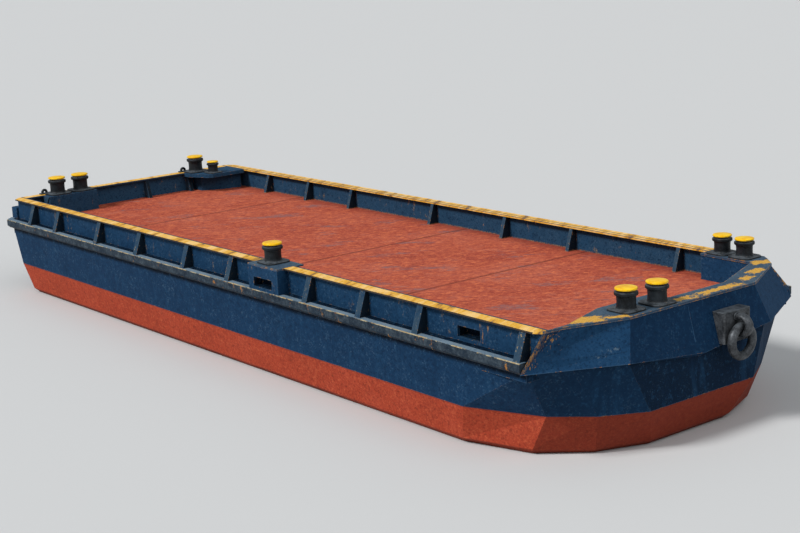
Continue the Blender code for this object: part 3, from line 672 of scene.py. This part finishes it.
finishes = {
    "hullNavy": makeNavy("hullNavy", shade=hullPaintedShade),
    "bowNavy": makeNavy("bowNavy", extra=bowWear, shade=bowTones),
    "boxNavy": makeNavy("boxNavy", weeps=0.35, shade=boxTones),
    "sideWallNavy": makeNavy("sideWallNavy", sideRibs, weeps=0.6, extra=wallWear, shade=wallTones),
    "sternWallNavy": makeNavy("sternWallNavy", sternRibs, weeps=0.6, shade=sternWallPaintedLight),
    "bottomRed": makeBottom(),
    "deckRed": makeDeck(),
    "railYellow": makeRail("railYellow", True),
    "sternRailYellow": makeRail("sternRailYellow", False),
    "bowPlate": makePlate("bowPlate", plateLook["patches"]),
    "seatPlate": makePlate("seatPlate"),
    "ledge": makeLedge("ledge", True),
    "sternLedge": makeLedge("sternLedge", False),
    "castIron": makeIron("castIron", "cast"),
    "forgedIron": makeIron("forgedIron", "forged"),
    "capYellow": makeCapYellow(),
}
nodeFinishes = (
    ("hullNavy", ("hull_topsides",)),
    ("bowNavy", ("bow_bulwark",)),
    ("boxNavy", ("midships_foundation", "mooring_pocket", "stern_platform_starboard", "stern_shelf_port")),
    ("sideWallNavy", ("bulwark_starboard", "bulwark_port")),
    ("sternWallNavy", ("bulwark_stern",)),
    ("bottomRed", ("hull_bottom",)),
    ("deckRed", ("deck_panel_",)),
    ("railYellow", ("cap_rail_starboard", "cap_rail_port")),
    ("sternRailYellow", ("cap_rail_stern",)),
    ("bowPlate", ("bow_plate",)),
    ("seatPlate", ("midships_seat_plate",)),
    ("ledge", ("rub_rail_starboard", "rub_rail_port")),
    ("sternLedge", ("rub_rail_stern",)),
    ("castIron", ("bollard_",)),
    ("capYellow", ("cap_",)),
    ("forgedIron", ("tow_",)),
)
for node in nodes.values():
    # the longest matching start of a name wins, so a cap rail isn't taken for a bollard's cap
    best = max(((start, finish) for finish, starts in nodeFinishes for start in starts
                if node.name.startswith(start)), key=lambda pair: len(pair[0]))
    node.data.materials.clear()
    node.data.materials.append(finishes[best[1]])
print("finishes made:", len(finishes))


# Operators act on all that is selected, so each new piece starts from nothing selected
def clearSelection():
    bpy.ops.object.select_all(action="DESELECT")


def selectOnly(piece):
    clearSelection()
    piece.select_set(True)
    bpy.context.view_layer.objects.active = piece


def startEdit():
    bpy.ops.object.mode_set(mode="EDIT")
    bpy.ops.mesh.select_mode(type="FACE")
    bpy.ops.mesh.select_all(action="SELECT")


def endEdit(mergeWithin=0.00005):
    bpy.ops.mesh.select_all(action="SELECT")
    bpy.ops.mesh.remove_doubles(threshold=mergeWithin)
    bpy.ops.mesh.normals_make_consistent(inside=False)
    bpy.ops.object.mode_set(mode="OBJECT")


# Selects in edit mode by a test; kind is "verts", "edges" or "faces"
def pick(kind, test):
    bpy.ops.mesh.select_mode(type={"verts": "VERT", "edges": "EDGE", "faces": "FACE"}[kind])
    bpy.ops.mesh.select_all(action="DESELECT")
    shape = bmesh.from_edit_mesh(bpy.context.object.data)
    for item in getattr(shape, kind):
        if test(item):
            item.select_set(True)
    shape.select_flush_mode()
    bmesh.update_edit_mesh(bpy.context.object.data)


def isUpright(edge):
    return abs(edge.verts[0].co.z - edge.verts[1].co.z) > 0.01


def isUpper(edge):
    return all(corner.co.z > 0 for corner in edge.verts)


def bevel(wide, segments):
    bpy.ops.mesh.bevel(offset=wide, segments=segments, affect="EDGES")


# A box of a size, its middle at a place, left in edit mode
def startBox(place, size):
    clearSelection()
    bpy.ops.mesh.primitive_cube_add(size=1.0, location=place)
    startEdit()
    bpy.ops.transform.resize(value=size, center_override=place)
    return bpy.context.object


def addTorus(place, rotation, major, minor, turns, sides):
    clearSelection()
    bpy.ops.mesh.primitive_torus_add(major_radius=major, minor_radius=minor, major_segments=turns,
                                     minor_segments=sides, location=place, rotation=rotation)
    return bpy.context.object


# Cuts away what lies behind a plane and closes the cut
def cutAway(place, normal):
    bpy.ops.mesh.bisect(plane_co=place, plane_no=normal, clear_inner=True, use_fill=True)


def addModifier(piece, kind, **settings):
    step = piece.modifiers.new(kind.lower(), kind)
    for key, value in settings.items():
        setattr(step, key, value)
    selectOnly(piece)
    bpy.ops.object.modifier_apply(modifier=step.name)


# Dents only go inwards (level 0); a weld's lumps go both ways (level 0.5)
def dent(piece, texture, strength, level=0.0):
    addModifier(piece, "DISPLACE", texture=texture, texture_coords="LOCAL", mid_level=level,
                strength=strength)


# Puts a piece's place into its mesh, then names it, dresses it and hangs it on its body
def settle(piece, name, finish, body="barge", instead=None, smooth=35.0):
    selectOnly(piece)
    bpy.ops.object.transform_apply(location=True, rotation=True, scale=True)
    bpy.ops.object.shade_smooth_by_angle(angle=radians(smooth))
    piece.name = name
    piece.data.materials.clear()
    piece.data.materials.append(finishes[finish])
    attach(piece, body)
    if instead:
        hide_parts(instead)


def copyTo(model, place, size):
    piece = bpy.data.objects.new(model.name, model.data.copy())
    bpy.context.scene.collection.objects.link(piece)
    piece.location = place
    piece.scale = (size, size, size)
    return piece


# A disc raised ring by ring: each ring is a radius and a height
def raiseRings(rings, sides):
    radius, height = rings[0]
    clearSelection()
    bpy.ops.mesh.primitive_circle_add(vertices=sides, radius=radius, fill_type="NGON", location=(0, 0, 0))
    startEdit()
    bpy.ops.transform.translate(value=(0, 0, height))
    for newRadius, newHeight in rings[1:]:
        bpy.ops.mesh.extrude_region_move(TRANSFORM_OT_translate={"value": (0, 0, newHeight - height)})
        widen = newRadius / radius
        bpy.ops.transform.resize(value=(widen, widen, 1.0), center_override=(0, 0, newHeight))
        radius, height = newRadius, newHeight
    endEdit()
    return bpy.context.object


# Bollard: rounded square flange, weld, slightly waisted post and a rolled collar
bollardLook = {
    "flange": 0.36, "flangeCorner": 0.19, "flangeThick": 0.085, "flangeEdge": 0.014,
    "postFoot": 0.230, "postWaist": 0.222, "postHead": 0.228, "postTop": 0.375, "weld": 0.030,
    "collar": 0.275, "collarEdge": 0.028, "collarLow": 0.388, "collarHigh": 0.478, "seat": 0.235,
    "sides": 48, "dents": 0.005, "sunk": 0.01, "lift": 0.004,
}
clouds = bpy.data.textures.new("dents", "CLOUDS")
clouds.noise_scale = 0.09


def modelBollard():
    look = bollardLook
    thick, weld = look["flangeThick"], look["weld"]
    flange = startBox((0, 0, thick / 2), (2 * look["flange"], 2 * look["flange"], thick))
    pick("edges", isUpright)
    bevel(look["flangeCorner"], 8)
    pick("edges", isUpper)
    bevel(look["flangeEdge"], 3)
    endEdit()

    foot, lift = look["postFoot"], look["lift"]
    rings = [(foot + weld, thick - look["sunk"]), (foot + weld, thick + lift)]
    for step in (1, 2, 3):
        turn = step / 3 * pi / 2
        rings.append((foot + weld * (1 - sin(turn) * 0.95), thick + lift + weld * (1 - cos(turn))))
    low, high = thick + weld + 3 * lift, look["postTop"]
    for step in range(8):
        share = step / 7
        waist = look["postWaist"] + (look["postHead"] - look["postWaist"]) * (2 * share - 1) ** 2
        rings.append((waist, low + (high - low) * share))
    edge = look["collarEdge"]
    for middle, start in ((look["collarLow"] + edge, -pi / 2), (look["collarHigh"] - edge, 0.0)):
        for step in range(5):
            turn = start + pi / 2 * step / 4
            rings.append((look["collar"] - edge + edge * cos(turn), middle + edge * sin(turn)))
    rings.append((look["seat"], look["collarHigh"] - lift))
    post = raiseRings(rings, look["sides"])
    dent(post, clouds, -look["dents"])
    addModifier(flange, "BOOLEAN", operation="UNION", object=post, solver="EXACT")
    bpy.data.objects.remove(post)
    flange.name = "bollardModel"
    return flange


# Yellow head: a low dome with a soft, slightly uneven rim
headLook = {"radius": 0.258, "seat": 0.4775, "rim": 0.022, "crown": 0.545, "dome": 0.018, "dents": 0.0015}


def modelHead():
    look = headLook
    edge = look["crown"] - look["dome"]
    rings = [(look["radius"] - 0.006, look["seat"]), (look["radius"], look["seat"] + 0.006),
             (look["radius"], edge - look["rim"])]
    for step in (1, 2, 3, 4):
        turn = step / 4 * pi / 2
        rings.append((look["radius"] - look["rim"] * (1 - cos(turn)), edge - look["rim"] * (1 - sin(turn))))
    for share in (0.8, 0.6, 0.4, 0.2, 0.06):
        rings.append((look["radius"] * share, edge + look["dome"] * (1 - share * share)))
    head = raiseRings(rings, bollardLook["sides"])
    dent(head, clouds, -look["dents"])
    head.name = "headModel"
    return head


bollardModel = modelBollard()
headModel = modelHead()
bollardNodes = sorted(name for name in nodes if name.startswith("bollard_"))
for name in bollardNodes:
    low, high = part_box(name)
    place = ((low.x + high.x) / 2, (low.y + high.y) / 2, low.z)
    size = (high.x - low.x) / (2 * bollardLook["flange"])
    where = name.removeprefix("bollard_")
    settle(copyTo(bollardModel, place, size), "bollardPost_" + where, "castIron",
           instead=name)
    settle(copyTo(headModel, place, size), "bollardHead_" + where, "capYellow",
           instead="cap_" + where)
bpy.data.objects.remove(bollardModel)
bpy.data.objects.remove(headModel)
print("bollards modelled:", len(bollardNodes))


# Tow ring: forged bar, with hammer marks that only go inwards, so it stays inside its node
ringLook = {"turns": 72, "sides": 28, "marks": 0.010, "markSize": 0.07}


def makeRing():
    low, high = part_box("tow_ring")
    bar = (high.x - low.x) / 2
    middle = (low + high) / 2
    ring = addTorus(middle, (0, pi / 2, 0), (high.z - low.z) / 2 - bar, bar,
                    ringLook["turns"], ringLook["sides"])
    marks = bpy.data.textures.new("hammerMarks", "CLOUDS")
    marks.noise_scale = ringLook["markSize"]
    dent(ring, marks, -ringLook["marks"])
    settle(ring, "towRing", "forgedIron", "tow_ring", "tow_ring", smooth=60.0)


# Tow eye: half a torus, its two ends drawn back to the bracket, with a weld round each
eyeLook = {"turns": 64, "sides": 24, "broader": 1.45, "weld": 0.022, "weldLong": 0.03, "weldLumps": 0.010}


def makeEye():
    low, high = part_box("tow_eye")
    bar = (high.y - low.y) / 2
    bend = (high.z - low.z) / 2 - bar
    middle = Vector((high.x - bar - bend, (low.y + high.y) / 2, (low.z + high.z) / 2))
    eye = addTorus(middle, (pi / 2, 0, 0), bend, bar, eyeLook["turns"], eyeLook["sides"])
    bpy.ops.object.transform_apply(location=True, rotation=True, scale=True)
    startEdit()
    cutAway(middle, (1, 0, 0))
    pick("faces", lambda face: face.normal.x < -0.99)
    bpy.ops.mesh.extrude_region_move(TRANSFORM_OT_translate={"value": (low.x - middle.x + 0.0001, 0, 0)})
    bpy.ops.mesh.select_all(action="SELECT")
    bpy.ops.transform.resize(value=(1.0, eyeLook["broader"], 1.0), center_override=middle)
    endEdit()
    settle(eye, "towEye", "forgedIron", instead="tow_eye", smooth=50.0)
    for side, up in (("upper", 1), ("lower", -1)):
        foot = (low.x + eyeLook["weldLong"] / 2, middle.y, middle.z + up * bend)
        bead = addTorus(foot, (0, pi / 2, 0), bar + 0.003, eyeLook["weld"], 40, 10)
        dent(bead, clouds, eyeLook["weldLumps"], 0.5)
        bpy.ops.object.transform_apply(location=True, rotation=True, scale=True)
        startEdit()
        cutAway((low.x + 0.0002, 0, 0), (1, 0, 0))
        bpy.ops.mesh.select_all(action="SELECT")
        bpy.ops.transform.resize(value=(1.0, eyeLook["broader"], 1.0), center_override=middle)
        endEdit()
        settle(bead, "towEyeWeld_" + side, "forgedIron", smooth=60.0)


# Bracket: its node's own solid, merged and with its edges rounded
bracketLook = {"edge": 0.012, "segments": 3, "sharp": 30.0}


def makeBracket():
    look = bracketLook
    bracket = copyTo(nodes["tow_bracket"], (0, 0, 0), 1.0)
    selectOnly(bracket)
    startEdit()
    bpy.ops.mesh.remove_doubles(threshold=0.0001)
    bpy.ops.mesh.dissolve_limited(angle_limit=radians(1.0))
    endEdit()
    addModifier(bracket, "BEVEL", width=look["edge"], segments=look["segments"], limit_method="ANGLE",
                angle_limit=radians(look["sharp"]))
    settle(bracket, "towBracket", "forgedIron", instead="tow_bracket")


makeRing()
makeEye()
makeBracket()
print("tow gear modelled")


# Small closed fairlead beside each large stern bollard: a half ring on a pad
leadLook = {"bend": 0.072, "bar": 0.044, "leg": 0.02, "pad": (0.14, 0.32, 0.040), "padEdge": 0.009,
            "turns": 32, "sides": 14, "shift": (-0.325, -0.33)}
leads = {"starboard": "bollard_stern_starboard_outer", "port": "bollard_stern_port_large"}


def makeLead(side, bollard):
    look = leadLook
    low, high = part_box(bollard)
    shiftX, shiftY = look["shift"]
    place = Vector(((low.x + high.x) / 2 + shiftX, (low.y + high.y) / 2 + shiftY, low.z))
    pad = startBox(place + Vector((0, 0, look["pad"][2] / 2)), look["pad"])
    pick("edges", isUpper)
    bevel(look["padEdge"], 2)
    endEdit()
    settle(pad, "fairleadPad_" + side, "castIron")
    middle = place + Vector((0, 0, look["pad"][2] + look["leg"]))
    bow = addTorus(middle, (0, pi / 2, 0), look["bend"], look["bar"], look["turns"], look["sides"])
    bpy.ops.object.transform_apply(location=True, rotation=True, scale=True)
    startEdit()
    cutAway(middle, (0, 0, 1))
    pick("faces", lambda face: face.normal.z < -0.99)
    bpy.ops.mesh.extrude_region_move(TRANSFORM_OT_translate={"value": (0, 0, -look["leg"])})
    endEdit()
    settle(bow, "fairleadBow_" + side, "castIron", smooth=50.0)


for side, bollard in leads.items():
    makeLead(side, bollard)


# Knee under the outer end of the starboard stern platform
kneeLook = {"thick": 0.03, "reach": 0.30, "drop": 0.34, "toe": 0.06, "edge": 0.004}


def makeKnee():
    look = kneeLook
    low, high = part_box("stern_platform_starboard")
    place = Vector((high.x - look["reach"] / 2, low.y - look["thick"] / 2 - gap, high.z - look["drop"] / 2))
    knee = startBox(place, (look["reach"], look["thick"], look["drop"]))
    pick("verts", lambda corner: corner.co.x > 0 and corner.co.z < 0)
    bpy.ops.transform.translate(value=(look["toe"] - look["reach"], 0, 0))
    pick("edges", lambda edge: edge.calc_face_angle(0) > 0.5)
    bevel(look["edge"], 2)
    endEdit()
    settle(knee, "platformKnee", "sternWallNavy")


# Fender block on the stern ledge at its starboard corner, by station, offset and height
blockLook = {"from": (0.04, -4.18), "to": (0.40, -3.84), "tall": 0.36, "edge": 0.03}


def makeBlock():
    look = blockLook
    size = [end - start for start, end in zip(look["from"], look["to"])] + [look["tall"]]
    place = Vector((look["from"][0] - midStation + size[0] / 2, look["from"][1] + size[1] / 2,
                    ledgeTop + look["tall"] / 2 + gap))
    block = startBox(place, size)
    pick("edges", lambda edge: isUpper(edge) or isUpright(edge))
    bevel(look["edge"], 4)
    endEdit()
    settle(block, "sternFenderBlock", "boxNavy")


# Weld bead down the bow front, a little to starboard of the middle; the front slopes from the plate's lip
# to the station of the knuckle
seamLook = {"offset": -0.24, "wide": 0.030, "proud": 0.010, "low": 2.20, "high": 3.03, "steps": 60,
            "sides": 12, "lumps": 0.006, "lip": 0.02, "plate": 0.04, "knuckle": 26.25}


def makeFrontSeam():
    look = seamLook
    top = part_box("bow_plate")[1].x - look["lip"]
    foot = look["knuckle"] - midStation
    slope = (foot - top) / (railTop - look["plate"] - knuckle)
    clearSelection()
    bpy.ops.mesh.primitive_cylinder_add(vertices=look["sides"], radius=look["wide"] / 2,
                                        depth=look["high"] - look["low"], location=(0, 0, 0))
    seam = bpy.context.object
    startEdit()
    pick("edges", isUpright)
    bpy.ops.mesh.subdivide(number_cuts=look["steps"])
    bpy.ops.mesh.select_all(action="SELECT")
    bpy.ops.transform.resize(value=(2 * look["proud"] / look["wide"], 1, 1), center_override=(0, 0, 0))
    endEdit()
    dent(seam, clouds, look["lumps"], 0.5)
    middle = (look["low"] + look["high"]) / 2
    seam.location = (foot - (middle - knuckle) * slope, look["offset"], middle)
    seam.rotation_euler.y = -atan(slope)
    settle(seam, "bowFrontWeld", "bowNavy", smooth=60.0)


makeKnee()
makeBlock()
makeFrontSeam()
print("small fittings modelled")


# Plain pale floor under the flat bottom
floorLook = {"size": 12000.0, "colour": (0.56, 0.56, 0.555), "roughness": 0.9, "drop": 0.002}
bpy.ops.mesh.primitive_plane_add(size=floorLook["size"], location=(0.0, 0.0, -floorLook["drop"]))
floor = bpy.context.object
floor.name = "floor"
floorFinish = bpy.data.materials.new("floorPale")
floorFinish.use_nodes = True
floorShader = floorFinish.node_tree.nodes["Principled BSDF"]
floorShader.inputs["Base Color"].default_value = (*floorLook["colour"], 1.0)
floorShader.inputs["Roughness"].default_value = floorLook["roughness"]
floor.data.materials.append(floorFinish)

# Soft studio light: a broad key from the starboard side, a weak fill from the bow, and pale surroundings
lightLook = {
    "key": {"towards": (0.16, 0.92, -0.95), "strength": 2.8, "spread": 14.0},
    "fill": {"towards": (-0.75, 0.05, -0.70), "strength": 0.9, "spread": 50.0},
    "surroundings": {"colour": (0.86, 0.93, 1.0), "strength": 0.36},
}
bpy.context.scene.view_settings.view_transform = "Standard"  # keeps the paints as deep as they are
for name in ("key", "fill"):
    look = lightLook[name]
    lamp = bpy.data.lights.new(name, "SUN")
    lamp.energy = look["strength"]
    lamp.angle = radians(look["spread"])
    item = bpy.data.objects.new(name, lamp)
    item.rotation_euler = Vector(look["towards"]).to_track_quat("-Z", "Y").to_euler()
    bpy.context.scene.collection.objects.link(item)
around = lightLook["surroundings"]
world = bpy.data.worlds.new("studio")
world.use_nodes = True
background = world.node_tree.nodes["Background"]
background.inputs["Color"].default_value = (*around["colour"], 1.0)
background.inputs["Strength"].default_value = around["strength"]
bpy.context.scene.world = world
print("floor and light in place")

# Camera at the photograph's viewing angle, for a frame of 800 x 533
cameraLook = {"place": (34.826, -25.551, 11.706), "azimuth": 52.018, "elevation": 12.779, "roll": -2.765,
              "focal": 1557.807, "frameWidth": 800, "sensor": 36.0, "farthest": 20000.0}
azimuth, elevation, roll = (radians(cameraLook[key]) for key in ("azimuth", "elevation", "roll"))
back = Vector((sin(azimuth) * cos(elevation), -cos(azimuth) * cos(elevation), sin(elevation)))
right = Vector((cos(azimuth), sin(azimuth), 0.0))
up = back.cross(right)
right, up = right * cos(roll) + up * sin(roll), up * cos(roll) - right * sin(roll)
lens = bpy.data.cameras.new("camera")
lens.sensor_width = cameraLook["sensor"]
lens.lens = cameraLook["focal"] / cameraLook["frameWidth"] * lens.sensor_width
lens.clip_end = cameraLook["farthest"]
camera = bpy.data.objects.new("camera", lens)
camera.matrix_world = Matrix((right, up, back)).transposed().to_4x4()
camera.location = cameraLook["place"]
bpy.context.scene.collection.objects.link(camera)
bpy.context.scene.camera = camera
print("camera set")
